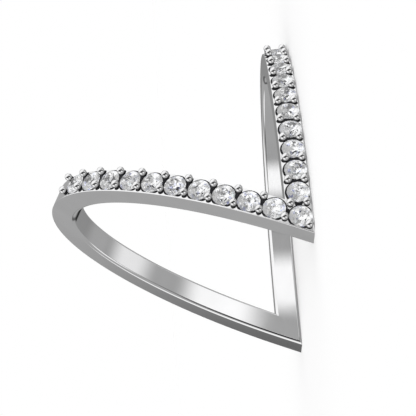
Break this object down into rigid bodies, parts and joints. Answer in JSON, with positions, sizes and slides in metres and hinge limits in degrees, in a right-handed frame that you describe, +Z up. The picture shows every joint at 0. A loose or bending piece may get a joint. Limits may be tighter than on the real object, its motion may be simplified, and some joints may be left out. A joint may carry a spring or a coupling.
{
  "type": "chevron ring",
  "caption": "Deep V-shaped finger ring whose flat halves meet in a mitred fold, with a row of round brilliants held by shared round-tipped prongs.",
  "frame": {"origin": "middle of the ring's outline seen from above, on the surface that it lies on", "axes": "+Z up from the flank that the right half lies on, +X from the fold towards that half's far side, -Y towards the stones"},
  "size_m": [0.02, 0.0212, 0.0183],
  "materials": {
    "metal": "polished",
    "stone": "faceted"
  },
  "bodies": {
    "root": {"band": "metal", "stone_tip": "stone", "stone_left_01": "stone", "stone_left_02": "stone", "stone_left_03": "stone", "stone_left_04": "stone", "stone_left_05": "stone", "stone_left_06": "stone", "stone_left_07": "stone", "stone_left_08": "stone", "stone_left_09": "stone", "stone_left_10": "stone", "stone_right_01": "stone", "stone_right_02": "stone", "stone_right_03": "stone", "stone_right_04": "stone", "stone_right_05": "stone", "stone_right_06": "stone", "stone_right_07": "stone", "stone_right_08": "stone", "stone_right_09": "stone", "stone_right_10": "stone"}
  },
  "joints": []
}
